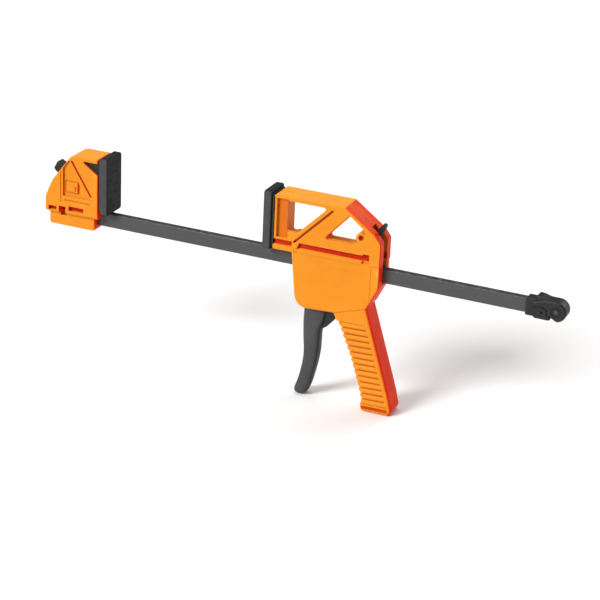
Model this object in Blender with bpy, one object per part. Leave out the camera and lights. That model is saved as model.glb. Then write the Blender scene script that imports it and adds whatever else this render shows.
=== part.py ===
"""One-hand trigger bar clamp: a fixed jaw and an end stop on a flat steel bar, and a jaw body that slides along it.

The frame is +Z up and +X along the bar, from the fixed jaw towards the end stop. The origin is the
centre of the fixed jaw's pressing face. Every shape is drawn from the bar's own centre line, and the
empty bar_axis lowers the whole clamp from there to the origin.
"""

import math

import bmesh
import bpy
from mathutils import Matrix, Vector

MM = 0.001
GAP = 0.3

# The bar and what stands on it
BAR_HEIGHT = 12.0
BAR_THICKNESS = 6.0
BAR_START = -54.0
BAR_END = 391.0
OPENING = 142.0
PAD_BOTTOM = 7.0
PAD_TOP = 57.0
PAD_WIDTH = 26.0
PAD_THICKNESS = 8.7
PAD_KEY_DEPTH = 2.4
JAW_WIDTH = 24.0
JAW_TOP = 55.0
JAW_UNDERSIDE = 8.5

# The fixed jaw, its foot and its latch
FIXED_FRONT = -PAD_THICKNESS - GAP
FOOT_WIDTH = 17.0
FOOT_BOTTOM = -10.0
LATCH_PIVOT = (-26.0, 12.0)
LATCH_THICKNESS = 5.6
LATCH_SLOT = 6.2
NOTCH = (-47.2, -41.3, 3.6)

# The sliding jaw body
HEAD_FRONT = OPENING + PAD_THICKNESS + GAP
HEAD_PEAK = 212.0
BODY_REAR = 243.8
BLOCK_WIDTH = 22.4
GRIP_WIDTH = 21.0
GRIP_BOTTOM = -118.5
CAVITY_WIDTH = 16.8
CAVITY_TOP = 19.5

# The trigger, the drive plates and the brake
TRIGGER_PIVOT = (188.0, 13.0)
TRIGGER_WIDTH = 12.0
FORK_WIDTH = 11.8
FORK_GAP = 7.0
PLATE_THICKNESS = 3.0
PLATE_WIDTH = 15.6
DRIVE_PLATE_START = 197.0
PARTITION = (221.0, 224.0)
BRAKE_PIVOT = (232.0, 17.0)
BRAKE_LEAN = math.radians(8.0)
BRAKE_DROP = 30.0
REAR_SLOT_WIDTH = 8.0

# Pins, screws and springs
TRIGGER_PIN_RADIUS = 2.5
LATCH_PIN_RADIUS = 1.5
STOP_PIN_RADIUS = 2.0
STOP_PIN_X = 388.0
SCREW_RADIUS = 1.5
SCREW_HEAD_RADIUS = 2.8
SCREW_HEAD_DEPTH = 2.2
SCREW_LENGTH = 15.0
BOSS_RADIUS = 3.4
SCREW_PLACES = [
    (156.4, 42.0),
    (175.6, 13.6),
    (227.8, 32.0),
    (228.0, -42.0),
    (246.0, -106.0),
    (205.5, 49.0),
]


def clear_scene():
    for old in list(bpy.data.objects):
        bpy.data.objects.remove(old)


# Shapes


def filleted(corners, steps=4):
    """The outline through (x, z, radius) corners, with an arc of that radius at each."""
    points = []
    count = len(corners)
    for i, (x, z, radius) in enumerate(corners):
        corner = Vector((x, z))
        before = (Vector(corners[i - 1][:2]) - corner).normalized()
        after = (Vector(corners[(i + 1) % count][:2]) - corner).normalized()
        if radius == 0:
            points.append((x, z))
            continue
        half = before.angle(after) / 2
        middle = corner + (before + after).normalized() * radius / math.sin(half)
        start = corner + before * radius / math.tan(half) - middle
        end = corner + after * radius / math.tan(half) - middle
        sweep = start.angle_signed(end)
        for step in range(steps + 1):
            turned = Matrix.Rotation(-sweep * step / steps, 2) @ start
            points.append(tuple(middle + turned))
    return points


def arc(centre, radius, first, last, steps):
    """Points of a circle in the XZ plane, from one angle to another in degrees."""
    points = []
    for step in range(steps + 1):
        angle = math.radians(first + (last - first) * step / steps)
        points.append((centre[0] + radius * math.cos(angle), centre[1] + radius * math.sin(angle)))
    return points


def solid(name, shape):
    """A new object around a finished bmesh drawn in millimetres."""
    bmesh.ops.remove_doubles(shape, verts=shape.verts, dist=1e-5)
    bmesh.ops.recalc_face_normals(shape, faces=shape.faces)
    bmesh.ops.scale(shape, vec=(MM, MM, MM), verts=shape.verts)
    mesh = bpy.data.meshes.new(name)
    shape.to_mesh(mesh)
    shape.free()
    made = bpy.data.objects.new(name, mesh)
    bpy.context.scene.collection.objects.link(made)
    return made


def prism(name, outline, near, far):
    """A closed XZ outline carried along Y from near to far."""
    shape = bmesh.new()
    face = shape.faces.new([shape.verts.new((x, near, z)) for x, z in outline])
    swept = bmesh.ops.extrude_face_region(shape, geom=[face])
    moved = [item for item in swept["geom"] if isinstance(item, bmesh.types.BMVert)]
    bmesh.ops.translate(shape, vec=(0, far - near, 0), verts=moved)
    return solid(name, shape)


def block(name, low, high):
    """A box between two corners."""
    outline = [(low[0], low[2]), (high[0], low[2]), (high[0], high[2]), (low[0], high[2])]
    return prism(name, outline, low[1], high[1])


def rod(name, centre, radius, near, far, sides=16):
    """A round bar along Y."""
    return prism(name, arc(centre, radius, 0, 360 - 360 / sides, sides - 1), near, far)


def coil(name, start, end, radius, wire, turns, steps=20, sides=5):
    """A compression spring between two points of the XZ plane."""
    start, end = Vector((start[0], 0, start[1])), Vector((end[0], 0, end[1]))
    along = (end - start).normalized()
    side = Vector((0, 1, 0))
    up = along.cross(side)
    shape = bmesh.new()
    rings = []
    total = round(turns * steps)
    for i in range(total + 1):
        turn = 2 * math.pi * i / steps
        outward = side * math.cos(turn) + up * math.sin(turn)
        place = start.lerp(end, i / total) + outward * radius
        ring = []
        for k in range(sides):
            angle = 2 * math.pi * k / sides
            ring.append(shape.verts.new(place + (outward * math.cos(angle) + along * math.sin(angle)) * wire))
        rings.append(ring)
    for ring, following in zip(rings, rings[1:]):
        for k in range(sides):
            following_k = (k + 1) % sides
            shape.faces.new((ring[k], ring[following_k], following[following_k], following[k]))
    shape.faces.new(rings[0])
    shape.faces.new(rings[-1])
    return solid(name, shape)


def combine(target, tool, operation):
    """Joins a tool to the target or cuts it away, and keeps the result as the target's mesh."""
    modifier = target.modifiers.new(operation.lower(), "BOOLEAN")
    modifier.operation = operation
    modifier.solver = "EXACT"
    modifier.object = tool
    graph = bpy.context.evaluated_depsgraph_get()
    result = bpy.data.meshes.new_from_object(target.evaluated_get(graph))
    target.modifiers.clear()
    target.data = result
    bpy.data.objects.remove(tool)


def cut(target, *tools):
    for tool in tools:
        combine(target, tool, "DIFFERENCE")


def join(target, *tools):
    for tool in tools:
        combine(target, tool, "UNION")


def finish(part, paint, parent, pivot=(0.0, 0.0), round_above=30.0):
    """Gives a part its material, its smooth faces, its parent and an origin on its own axis."""
    shift = Vector((pivot[0] * MM, 0, pivot[1] * MM))
    part.data.transform(Matrix.Translation(-shift))
    part.location = shift
    part.parent = parent
    part.data.materials.clear()
    part.data.materials.append(paint)
    part.data.shade_smooth()
    part.data.set_sharp_from_angle(angle=math.radians(round_above))
    return part


# Materials


def principled(name, colour, roughness, metallic):
    made = bpy.data.materials.new(name)
    made.use_nodes = True
    shader = made.node_tree.nodes["Principled BSDF"]
    shader.inputs["Base Color"].default_value = (*colour, 1)
    shader.inputs["Roughness"].default_value = roughness
    shader.inputs["Metallic"].default_value = metallic
    made.diffuse_color = (*colour, 1)
    return made


def orange_plastic(name):
    return principled(name, (0.93, 0.33, 0.025), 0.42, 0.0)


def black_plastic(name):
    return principled(name, (0.022, 0.023, 0.025), 0.48, 0.0)


def pad_rubber(name):
    return principled(name, (0.03, 0.031, 0.034), 0.7, 0.0)


def blackened_steel(name):
    return principled(name, (0.055, 0.055, 0.06), 0.45, 0.85)


def zinc_steel(name):
    return principled(name, (0.55, 0.55, 0.57), 0.35, 1.0)


def spring_steel(name):
    return principled(name, (0.32, 0.32, 0.34), 0.3, 1.0)


# The bar, the fixed jaw and the end stop


def make_bar(parent):
    half, side = BAR_HEIGHT / 2, BAR_THICKNESS / 2
    bar = block("bar", (BAR_START, -side, -half), (BAR_END, side, half))
    cut(bar, block("notch", (NOTCH[0], -side - 1, NOTCH[2]), (NOTCH[1], side + 1, half + 1)))
    cut(bar, rod("pin_hole", (STOP_PIN_X, 0), STOP_PIN_RADIUS + GAP, -side - 1, side + 1))
    return finish(bar, blackened_steel("bar"), parent)


def bar_passage(name, start, end):
    """The space that the bar and its clearance take between two places."""
    half, side = BAR_HEIGHT / 2 + GAP, BAR_THICKNESS / 2 + GAP
    return block(name, (start, -side, -half), (end, side, half))


def make_fixed_jaw(parent):
    outline = [
        (FIXED_FRONT, JAW_UNDERSIDE, 0),
        (FIXED_FRONT, JAW_TOP, 2),
        (-34.0, JAW_TOP, 9),
        (-53.0, 30.0, 30),
        (-59.5, 15.0, 12),
        (-59.5, JAW_UNDERSIDE, 2),
    ]
    jaw = prism("fixed_jaw_body", filleted(outline), -JAW_WIDTH / 2, JAW_WIDTH / 2)
    foot = filleted(
        [(-57.0, FOOT_BOTTOM, 2), (-14.0, FOOT_BOTTOM, 2), (-14.0, 14.0, 0), (-57.0, 14.0, 0)]
    )
    join(jaw, prism("foot", foot, -FOOT_WIDTH / 2, FOOT_WIDTH / 2))
    join(jaw, pad_key(FIXED_FRONT, 1))
    cut(jaw, bar_passage("socket", BAR_START - GAP, 10))
    slot = [(-21.8, 3), (-21.8, 17), (-29, 17), (-31, 25), (-40.8, 25), (-40.8, 48.5)]
    slot += [(-70, 48.5), (-70, 24), (-54, 24), (-54, 3)]
    cut(jaw, prism("latch_slot", slot, -LATCH_SLOT / 2, LATCH_SLOT / 2))
    cut(jaw, rod("latch_bore", LATCH_PIVOT, LATCH_PIN_RADIUS + GAP, -JAW_WIDTH, JAW_WIDTH))
    return finish(jaw, orange_plastic("fixed_jaw_orange"), parent)


def pad_key(face, inward):
    """The rib on a jaw's front that holds its pad, pointing along +X for inward 1 and -X for -1."""
    tip, root = face + inward * PAD_KEY_DEPTH, face - inward * 3
    low, high = min(tip, root), max(tip, root)
    return block("pad_key", (low, -5.7, PAD_BOTTOM + 8), (high, 5.7, PAD_TOP - 8))


def make_pad(name, face, inward, parent):
    """A pad whose pressing face is at X = face, seated on a jaw that lies behind it."""
    back = face - inward * PAD_THICKNESS
    half = PAD_WIDTH / 2
    low, high = min(face, back), max(face, back)
    outline = filleted([(-half, PAD_BOTTOM, 2), (half, PAD_BOTTOM, 2), (half, PAD_TOP, 2), (-half, PAD_TOP, 2)], 3)
    pad = prism(name, outline, low, high)
    pad.data.transform(Matrix(((0, 1, 0, 0), (-1, 0, 0, 0), (0, 0, 1, 0), (0, 0, 0, 1))))
    depth = PAD_KEY_DEPTH + GAP
    mouth, floor = back - inward, back + inward * depth
    cut(
        pad,
        block(
            "key_pocket",
            (min(mouth, floor), -6, PAD_BOTTOM + 8 - GAP),
            (max(mouth, floor), 6, PAD_TOP - 8 + GAP),
        ),
    )
    return finish(pad, pad_rubber(name + "_rubber"), parent)


def make_latch(parent):
    outline = arc(LATCH_PIVOT, 3.6, -100, 75, 8)
    outline += [(-43, 14.5), (-46, 18), (-46.2, 30), (-45.5, 42)]
    outline += [(-50.5, 45), (-52.8, 43.4), (-55.8, 37.6), (-54.6, 35.6)]
    outline += [(-50.4, 32.5), (-51.2, 24), (-51.5, 14), (-49.5, 8.6)]
    outline += [(-46, 8.2), (-46, 4.2), (-42.6, 4.2), (-42, 7.4)]
    lever = prism("jaw_latch_lever", outline, -LATCH_THICKNESS / 2, LATCH_THICKNESS / 2)
    cut(lever, rod("bore", LATCH_PIVOT, LATCH_PIN_RADIUS + GAP, -LATCH_SLOT, LATCH_SLOT))
    return finish(lever, black_plastic("latch_black"), parent, LATCH_PIVOT)


def make_latch_pin(parent):
    half = FOOT_WIDTH / 2 + 2
    pin = rod("jaw_latch_pin", LATCH_PIVOT, LATCH_PIN_RADIUS, -half, half, 12)
    return finish(pin, zinc_steel("latch_pin_steel"), parent, LATCH_PIVOT)


def make_latch_spring(parent):
    spring = coil("jaw_latch_spring", (-36, 16.1), (-36, 24.1), 2.0, 0.35, 4, 14)
    return finish(spring, spring_steel("latch_spring_steel"), parent, (-36, 16.1))


def make_end_stop(parent):
    outline = [(371, -8.2), (STOP_PIN_X, -8.2)] + arc((STOP_PIN_X, 0.0), 8.2, -80, 80, 10)
    outline += [(STOP_PIN_X, 8.4), (376, 8.6), (375, 10.4), (371.6, 10.4), (371, 9.4)]
    stop = prism("bar_end_stop", outline, -6.3, 6.3)
    join(stop, block("collar", (363, -5, -7.6), (374, 5, 7.6)))
    cut(stop, bar_passage("bar_socket", 360, BAR_END + GAP))
    cut(stop, rod("pin_hole", (STOP_PIN_X, 0), STOP_PIN_RADIUS + GAP, -10, 10))
    return finish(stop, black_plastic("end_stop_black"), parent)


def make_end_stop_pin(parent):
    pin = rod("end_stop_pin", (STOP_PIN_X, 0), STOP_PIN_RADIUS, -6.3, 6.3, 16)
    return finish(pin, zinc_steel("end_stop_pin_steel"), parent, (STOP_PIN_X, 0.0))


# The two half shells of the sliding jaw


def body_outline():
    """The side view of head, block and grip."""
    return filleted(
        [
            (HEAD_FRONT, JAW_UNDERSIDE, 0.6),
            (HEAD_FRONT, JAW_TOP, 2),
            (HEAD_PEAK, JAW_TOP, 2.5),
            (238.5, 36.0, 5),
            (BODY_REAR, 29.0, 4),
            (BODY_REAR, -9.0, 8),
            (234.3, -28.5, 6),
            (257.4, -100.4, 40),
            (260.8, -114.0, 3),
            (257.0, GRIP_BOTTOM, 1),
            (234.2, GRIP_BOTTOM, 1.5),
            (231.0, -102.5, 30),
            (221.0, -72.5, 30),
            (209.0, -44.5, 10),
            (203.5, -37.0, 1),
            (172.3, -38.8, 9),
            (166.8, JAW_UNDERSIDE, 0),
        ],
        5,
    )


def head_outline():
    """The wider truss head above the block."""
    return filleted(
        [
            (HEAD_FRONT + 4, 17.3, 0),
            (HEAD_FRONT + 4, JAW_TOP, 0),
            (HEAD_PEAK, JAW_TOP, 2.5),
            (238.5, 36.0, 5),
            (BODY_REAR, 29.0, 4),
            (BODY_REAR, 17.3, 0),
        ],
        5,
    )


def cavity_outline():
    """The hollow of block and grip."""
    block_part = [(170.8, CAVITY_TOP), (171.8, -6), (174, -22), (178, -34.5), (207, -34.5)]
    grip_front = [(211.8, -45), (224, -73), (233.6, -102), (237, -115)]
    grip_back = [(256.5, -115), (254.2, -101), (231.2, -28.5)]
    rear = [(235.6, -19), (240.9, -8.5), (240.9, CAVITY_TOP)]
    return block_part + grip_front + grip_back + rear


def windows():
    """The front and rear openings of the truss head."""
    front = [(162.0, 51.5, 1.5), (195.0, 51.5, 1.5), (173.0, 28.8, 1.5), (162.0, 28.8, 1.5)]
    rear = [(213.5, 48.6, 1.5), (228.3, 38.0, 1.5), (228.3, 26.8, 1.5), (194.6, 26.8, 1.5)]
    return filleted(front, 3), filleted(rear, 3)


def rear_slot():
    """The gap between the two rear walls, where the bar leaves and the release lever moves."""
    return [(231.4, -7.6), (260, -7.6), (260, 50), (234, 50), (231.4, 33)]


def trigger_opening():
    """Where the trigger hangs out of the block and swings into the grip."""
    return [(174.6, -30), (174.6, -45), (205, -45), (205, -58), (221, -58), (221, -30)]


def make_shell(name, side, parent):
    """One half of the body: side -1 is the near half, and +1 the far half, which takes the screw heads."""
    seam = side * GAP / 2

    def half(part_name, outline, depth, start=seam):
        return prism(part_name, outline, min(start, side * depth), max(start, side * depth))

    shell = half(name, body_outline(), GRIP_WIDTH / 2)
    block_face = filleted(
        [
            (HEAD_FRONT + 4, JAW_UNDERSIDE + 1.5, 0),
            (HEAD_FRONT + 4, 30, 0),
            (240, 30, 0),
            (BODY_REAR - 2, 26, 0),
            (BODY_REAR - 2, -9.0, 6),
            (234.0, -27.5, 3),
            (205.0, -36.0, 3),
            (174.5, -37.0, 9),
            (169.0, JAW_UNDERSIDE + 1.5, 0),
        ]
    )
    join(shell, half("block_face", block_face, BLOCK_WIDTH / 2, side * 9))
    join(shell, half("head_face", head_outline(), JAW_WIDTH / 2, side * 8))
    join(shell, pad_key_half(side))
    for number, window in enumerate(windows()):
        cut(shell, prism(f"window_{number}", window, -20, 20))
    cut(shell, prism("cavity", cavity_outline(), -CAVITY_WIDTH / 2, CAVITY_WIDTH / 2))
    for x, z in SCREW_PLACES:
        join(shell, half("boss", arc((x, z), BOSS_RADIUS, 0, 360 - 22.5, 15), GRIP_WIDTH / 2 - 0.6))
    pivot = arc(TRIGGER_PIVOT, 5.0, 0, 337.5, 15)
    join(shell, half("pivot_boss", pivot, CAVITY_WIDTH / 2 + 1, side * (FORK_WIDTH / 2 + GAP)))
    add_inner_walls(shell, side)
    cut(shell, bar_passage("bar_space", HEAD_FRONT - 5, BODY_REAR + 5))
    cut(shell, prism("slot", rear_slot(), -REAR_SLOT_WIDTH / 2, REAR_SLOT_WIDTH / 2))
    swing = TRIGGER_WIDTH / 2 + 0.6
    cut(shell, prism("trigger_opening", trigger_opening(), -swing, swing))
    cut(shell, rod("pivot_bore", TRIGGER_PIVOT, TRIGGER_PIN_RADIUS + GAP, -9.6, 9.6))
    bore_screws(shell, side)
    return finish(shell, orange_plastic(name + "_orange"), parent)


def pad_key_half(side):
    """This half's share of the rib that holds the moving jaw's pad."""
    low, high = sorted((side * GAP / 2, side * 5.7))
    return block(
        "pad_key",
        (HEAD_FRONT - PAD_KEY_DEPTH, low, PAD_BOTTOM + 8),
        (HEAD_FRONT + 3, high, PAD_TOP - 8),
    )


def add_inner_walls(shell, side):
    """The partition that the drive spring pushes on, and the rib that the brake plate rocks on."""
    deep = CAVITY_WIDTH / 2 + 0.8
    low, high = sorted((side * (BAR_THICKNESS / 2 + GAP), side * deep))
    join(shell, block("partition", (PARTITION[0], low, -15), (PARTITION[1], high, CAVITY_TOP + 1)))
    low, high = sorted((side * (REAR_SLOT_WIDTH / 2), side * deep))
    join(shell, block("fulcrum", (227.4, low, 14.2), (BRAKE_PIVOT[0] - 0.8, high, CAVITY_TOP + 1)))


def bore_screws(shell, side):
    """Blind pilot holes in the near half, clearance holes and head recesses in the far half."""
    for x, z in SCREW_PLACES:
        if side < 0:
            cut(shell, rod("pilot", (x, z), SCREW_RADIUS + GAP, -8.2, 1, 12))
            continue
        cut(shell, rod("clearance", (x, z), SCREW_RADIUS + GAP, -1, 20, 12))
        cut(shell, rod("recess", (x, z), SCREW_HEAD_RADIUS + GAP, 7.0 - GAP, 20, 16))


def make_screw(number, place, parent):
    """A pan-head screw along Y, with a cross recess left to the finish."""
    name = f"shell_screw_{number}"
    head_start = 7.0
    screw = rod(name, place, SCREW_RADIUS, head_start - SCREW_LENGTH, head_start + 1, 10)
    join(screw, rod("head", place, SCREW_HEAD_RADIUS, head_start, head_start + SCREW_HEAD_DEPTH, 14))
    return finish(screw, zinc_steel(name + "_steel"), parent, place)


# Trigger, drive and brake


def make_trigger(parent):
    lever = filleted(
        [
            (181.5, -12.5, 1),
            (177.4, -42.0, 8),
            (178.9, -82.0, 40),
            (171.0, -116.5, 1.5),
            (174.5, -118.4, 1.5),
            (182.5, -116.4, 6),
            (192.6, -84.0, 30),
            (192.4, -62.0, 20),
            (197.4, -47.0, 6),
            (197.0, -28.0, 4),
            (190.0, -12.5, 1),
        ]
    )
    half = TRIGGER_WIDTH / 2
    trigger = prism("trigger", lever, -half, half)
    heel = filleted([(190, -34, 1), (203.5, -36.5, 2), (204.6, -47, 4), (190, -62, 1)], 3)
    join(trigger, prism("heel", heel, -3, 3))
    cheek = arc(TRIGGER_PIVOT, 4.4, 180, -5, 10) + arc((192.7, 0.0), 4.0, 55, -60, 6)
    cheek += [(190.6, -12.0), (190.4, -16), (181.6, -16), (182.6, -6)]
    outer, inner = FORK_WIDTH / 2, FORK_GAP / 2
    join(trigger, prism("near_cheek", cheek, -outer, -inner), prism("far_cheek", cheek, inner, outer))
    cut(trigger, rod("bore", TRIGGER_PIVOT, TRIGGER_PIN_RADIUS + GAP, -20, 20))
    return finish(trigger, black_plastic("trigger_black"), parent, TRIGGER_PIVOT)


def make_trigger_pin(parent):
    pin = rod("trigger_pin", TRIGGER_PIVOT, TRIGGER_PIN_RADIUS, -9.2, 9.2, 20)
    return finish(pin, zinc_steel("trigger_pin_steel"), parent, TRIGGER_PIVOT)


def make_drive_plate(name, start, parent):
    half = PLATE_WIDTH / 2
    plate = block(name, (start, -half, -12), (start + PLATE_THICKNESS, half, 13))
    cut(plate, bar_passage("bar_hole", start - 1, start + PLATE_THICKNESS + 1))
    return finish(plate, zinc_steel(name + "_steel"), parent, (start, 0.0))


def make_drive_spring(parent):
    start = DRIVE_PLATE_START + 2 * PLATE_THICKNESS + 2 * GAP
    wire = 0.45
    ends = (start + wire, 0.0), (PARTITION[0] - GAP - wire, 0.0)
    spring = coil("drive_spring", *ends, 7.5, wire, 5)
    return finish(spring, spring_steel("drive_spring_steel"), parent, ends[0])


def make_brake_plate(parent):
    """Drawn upright around its rocking edge, then leaned back as it rests."""
    half = PLATE_WIDTH / 2
    plate = block("brake_plate", (0, -half, -BRAKE_DROP), (PLATE_THICKNESS, half, 1.2))
    join(plate, block("neck", (0, -3.3, -2), (PLATE_THICKNESS, 3.3, 8)))
    join(plate, block("tongue", (1.2, -2, 6), (PLATE_THICKNESS, 2, 15)))
    side = BAR_THICKNESS / 2 + GAP
    cut(plate, block("bar_hole", (-1, -side, -23.5), (PLATE_THICKNESS + 1, side, -10.4)))
    return finish_leaning(plate, zinc_steel("brake_plate_steel"), parent)


def make_release_tab(parent):
    """The thumb piece pressed on the brake plate's tongue."""
    outline = [(0, 8.4), (0, 17), (1.5, 20.5), (5.4, 26.6), (6.6, 27), (8.0, 25.8), (6.2, 18.5), (4.9, 13), (4.9, 8.4)]
    tab = prism("release_tab", outline, -3.4, 3.4)
    cut(tab, block("socket", (0.9, -2.3, 5), (PLATE_THICKNESS + GAP, 2.3, 15.3)))
    return finish_leaning(tab, black_plastic("release_tab_black"), parent)


def finish_leaning(part, paint, parent):
    """A brake part keeps its origin on the rocking edge, with the resting lean as its rotation."""
    finish(part, paint, parent)
    part.location = (BRAKE_PIVOT[0] * MM, 0, BRAKE_PIVOT[1] * MM)
    part.rotation_euler = (0, BRAKE_LEAN, 0)
    return part


def make_brake_spring(parent):
    wire = 0.45
    drop = BRAKE_PIVOT[1]
    plate_rear = BRAKE_PIVOT[0] + PLATE_THICKNESS - (drop - 8.5) * math.tan(BRAKE_LEAN)
    ends = (plate_rear + 1.0, 0.0), (240.9 - GAP - wire, 0.0)
    spring = coil("brake_spring", *ends, 7.5, wire, 3)
    return finish(spring, spring_steel("brake_spring_steel"), parent, ends[1])


def main():
    clear_scene()
    bar_axis = bpy.data.objects.new("bar_axis", None)
    bar_axis.location = (0, 0, -(PAD_BOTTOM + PAD_TOP) / 2 * MM)
    bpy.context.scene.collection.objects.link(bar_axis)
    make_bar(bar_axis)
    make_fixed_jaw(bar_axis)
    make_pad("fixed_jaw_pad", 0.0, 1, bar_axis)
    make_latch(bar_axis)
    make_latch_pin(bar_axis)
    make_latch_spring(bar_axis)
    make_end_stop(bar_axis)
    make_end_stop_pin(bar_axis)
    make_shell("near_shell", -1, bar_axis)
    make_shell("far_shell", 1, bar_axis)
    make_pad("moving_jaw_pad", OPENING, -1, bar_axis)
    for number, place in enumerate(SCREW_PLACES, 1):
        make_screw(number, place, bar_axis)
    make_trigger(bar_axis)
    make_trigger_pin(bar_axis)
    make_drive_plate("drive_plate_front", DRIVE_PLATE_START, bar_axis)
    make_drive_plate("drive_plate_rear", DRIVE_PLATE_START + PLATE_THICKNESS + GAP, bar_axis)
    make_drive_spring(bar_axis)
    make_brake_plate(bar_axis)
    make_release_tab(bar_axis)
    make_brake_spring(bar_axis)


main()
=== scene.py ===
"""The finished look of a one-hand bar clamp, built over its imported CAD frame.

Outlines are in millimetres: X runs along the bar from the fixed jaw's pressing face, and Z up from the
bar's centre line. Y is measured from the middle plane: the near side is -Y and the far side +Y.
"""

import math

import bmesh
import bpy
from mathutils import Matrix, Vector
from mathutils.geometry import tessellate_polygon


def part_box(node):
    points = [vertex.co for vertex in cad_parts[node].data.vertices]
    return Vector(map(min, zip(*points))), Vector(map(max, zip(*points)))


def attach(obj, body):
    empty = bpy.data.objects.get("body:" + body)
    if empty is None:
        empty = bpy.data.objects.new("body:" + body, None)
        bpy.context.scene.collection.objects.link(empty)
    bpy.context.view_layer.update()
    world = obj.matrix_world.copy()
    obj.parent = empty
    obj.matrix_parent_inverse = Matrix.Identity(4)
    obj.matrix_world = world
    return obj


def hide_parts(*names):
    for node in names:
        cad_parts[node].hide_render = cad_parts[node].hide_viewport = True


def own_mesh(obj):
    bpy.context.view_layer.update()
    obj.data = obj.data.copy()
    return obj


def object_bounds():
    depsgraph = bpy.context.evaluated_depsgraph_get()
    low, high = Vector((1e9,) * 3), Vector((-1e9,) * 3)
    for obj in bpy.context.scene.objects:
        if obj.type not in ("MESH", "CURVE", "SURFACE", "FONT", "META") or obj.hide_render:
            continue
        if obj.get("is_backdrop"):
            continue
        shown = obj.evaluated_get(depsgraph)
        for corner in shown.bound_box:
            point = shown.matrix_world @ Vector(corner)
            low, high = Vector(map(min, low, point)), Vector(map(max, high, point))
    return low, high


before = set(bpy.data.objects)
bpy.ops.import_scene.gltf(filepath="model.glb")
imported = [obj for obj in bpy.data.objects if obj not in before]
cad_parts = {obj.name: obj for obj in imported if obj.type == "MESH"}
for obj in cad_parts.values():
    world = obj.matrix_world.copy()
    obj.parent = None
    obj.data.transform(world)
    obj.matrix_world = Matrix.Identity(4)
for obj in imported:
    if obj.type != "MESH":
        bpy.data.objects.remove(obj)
cad_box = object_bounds()

MM = 0.001
BAR_LOW, BAR_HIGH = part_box("bar")
ORIGIN = Vector((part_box("fixed_jaw_pad")[1].x, 0, (BAR_LOW.z + BAR_HIGH.z) / 2))


def millimetres(node):
    """A CAD node's lowest and highest corners, in the outlines' own coordinates."""
    low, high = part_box(node)
    return (low - ORIGIN) / MM, (high - ORIGIN) / MM


def middle_of(node):
    """The XZ middle of a CAD node, in the outlines' own coordinates."""
    low, high = millimetres(node)
    return (low.x + high.x) / 2, (low.z + high.z) / 2


SHELL_LOW, SHELL_HIGH = millimetres("near_shell")
JAW_LOW, JAW_HIGH = millimetres("fixed_jaw_body")
FIXED_PAD = millimetres("fixed_jaw_pad")
MOVING_PAD = millimetres("moving_jaw_pad")
STOP_TOP = millimetres("bar_end_stop")[1].z
BAR = millimetres("bar")

STOP_PIN = middle_of("end_stop_pin")
LATCH_PIVOT = middle_of("jaw_latch_pin")
TRIGGER_PIVOT = middle_of("trigger_pin")
RELEASE_PIVOT = (232.0, 17.0)
SCREW_COUNT = 6
SCREWS = [middle_of(f"shell_screw_{number}") for number in range(1, SCREW_COUNT + 1)]

# Distances from the middle plane, of side faces and of the cutters' outer ends
SEAM = 0.15
HEAD_HALF = 12.0
BLOCK_HALF = 11.2
CORE_HALF = 8.9
GRIP_HALF = 10.3
CAVITY_HALF = 8.4
BAR_ROOM_HALF = 3.3
OUTSIDE = 15.0

# The sliding jaw's outline
HEAD_FRONT = MOVING_PAD[1].x + 0.3
BODY_REAR = 243.8
HEAD_TOP = SHELL_HIGH.z
GRIP_BOTTOM = SHELL_LOW.z
FRONT_EDGE = [(204.5, -37.0), (209.0, -44.5), (221.0, -72.5), (231.0, -102.5), (234.2, -118.5)]
REAR_EDGE = [(234.3, -28.5), (257.4, -100.4), (260.8, -114.0), (260.8, -118.5)]

# The head's windows: their slanted sides start at the brace's foot and the rear window's tip, and they
# are larger behind a plate at the near face, so that more can be seen through them at a slant
WINDOW_TOP = 51.3
NEAR_LEFT, NEAR_SILL = 162.0, 25.2
DEEP_LEFT, DEEP_SILL = 160.3, 20.2
WINDOW_PLATE = 5.0
BRACE_FOOT = Vector((171.6, NEAR_SILL))
BRACE_RUN = Vector((26.0, WINDOW_TOP - NEAR_SILL))
REAR_TIP = Vector((195.4, NEAR_SILL))
REAR_RUN = Vector((21.1, 23.2))

# The grip's ribs, and the recessed band that they lie in
BAND_TOP, BAND_BOTTOM = -43.4, -112.4
RIB_COUNT = 14
RIB_PITCH = 4.95
RIB_RADIUS = 2.6
RIB_TOP = -46.0
RIB_TILT = 0.04


# Outlines


def filleted(corners, steps=6):
    """The outline through (x, z, radius) corners, with an arc of that radius at each."""
    points = []
    count = len(corners)
    for i, (x, z, radius) in enumerate(corners):
        corner = Vector((x, z))
        before = (Vector(corners[i - 1][:2]) - corner).normalized()
        after = (Vector(corners[(i + 1) % count][:2]) - corner).normalized()
        if radius == 0:
            points.append((x, z))
            continue
        half = before.angle(after) / 2
        middle = corner + (before + after).normalized() * radius / math.sin(half)
        start = corner + before * radius / math.tan(half) - middle
        end = corner + after * radius / math.tan(half) - middle
        sweep = start.angle_signed(end)
        for step in range(steps + 1):
            points.append(tuple(middle + Matrix.Rotation(-sweep * step / steps, 2) @ start))
    return points


def circle(centre, radius, sides=32):
    """A regular outline round an XZ point."""
    angles = [2 * math.pi / sides * i for i in range(sides)]
    return [(centre[0] + radius * math.cos(a), centre[1] + radius * math.sin(a)) for a in angles]


def rectangle(left, bottom, right, top, radius, steps=6):
    """A rectangle's outline with rounded corners."""
    corners = [(left, bottom), (left, top), (right, top), (right, bottom)]
    return filleted([(x, z, radius) for x, z in corners], steps)


def along(points, z):
    """X at height z on a line through (x, z) points that fall in z."""
    for (x0, z0), (x1, z1) in zip(points, points[1:]):
        if z0 >= z >= z1:
            return x0 + (x1 - x0) * (z0 - z) / (z0 - z1)
    return points[-1][0]


def span(side, inner, outer=OUTSIDE):
    """The Y range on one side (-1 near, 1 far) between two distances from the middle plane."""
    return sorted((side * inner, side * outer))


# Meshes


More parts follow.
